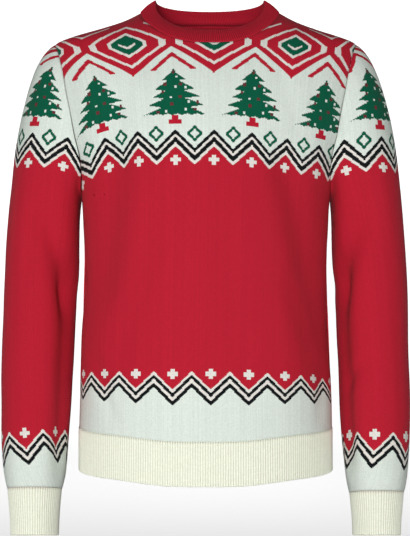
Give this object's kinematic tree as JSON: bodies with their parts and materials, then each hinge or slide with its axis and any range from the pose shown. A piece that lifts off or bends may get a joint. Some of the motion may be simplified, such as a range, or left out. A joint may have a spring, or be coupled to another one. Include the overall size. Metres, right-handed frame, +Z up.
{
  "type": "christmas sweater",
  "caption": "Long-sleeved crew neck knitted sweater with a tree and zigzag pattern, ribbed neck, hem and cuffs, held in its hollow worn form.",
  "frame": {"origin": "middle of the neck at the height of the side neck points, where a wearer's shoulders hold the garment", "axes": "+Z up along the body, -Y out of the front, +X to the wearer's left arm"},
  "size_m": [0.575, 0.239, 0.7568],
  "materials": {
    "jacquard_knit": "fine matt jersey, red, pale mint, green and black",
    "cream_rib": "fine matt rib, cream",
    "red_rib": "fine matt rib, red"
  },
  "bodies": {
    "root": {"front_panel": "jacquard_knit", "back_panel": "jacquard_knit", "sleeve_left": "jacquard_knit", "sleeve_right": "jacquard_knit", "hem_rib_front": "cream_rib", "hem_rib_back": "cream_rib", "cuff_rib_left": "cream_rib", "cuff_rib_right": "cream_rib", "neck_rib": "red_rib"}
  },
  "joints": []
}
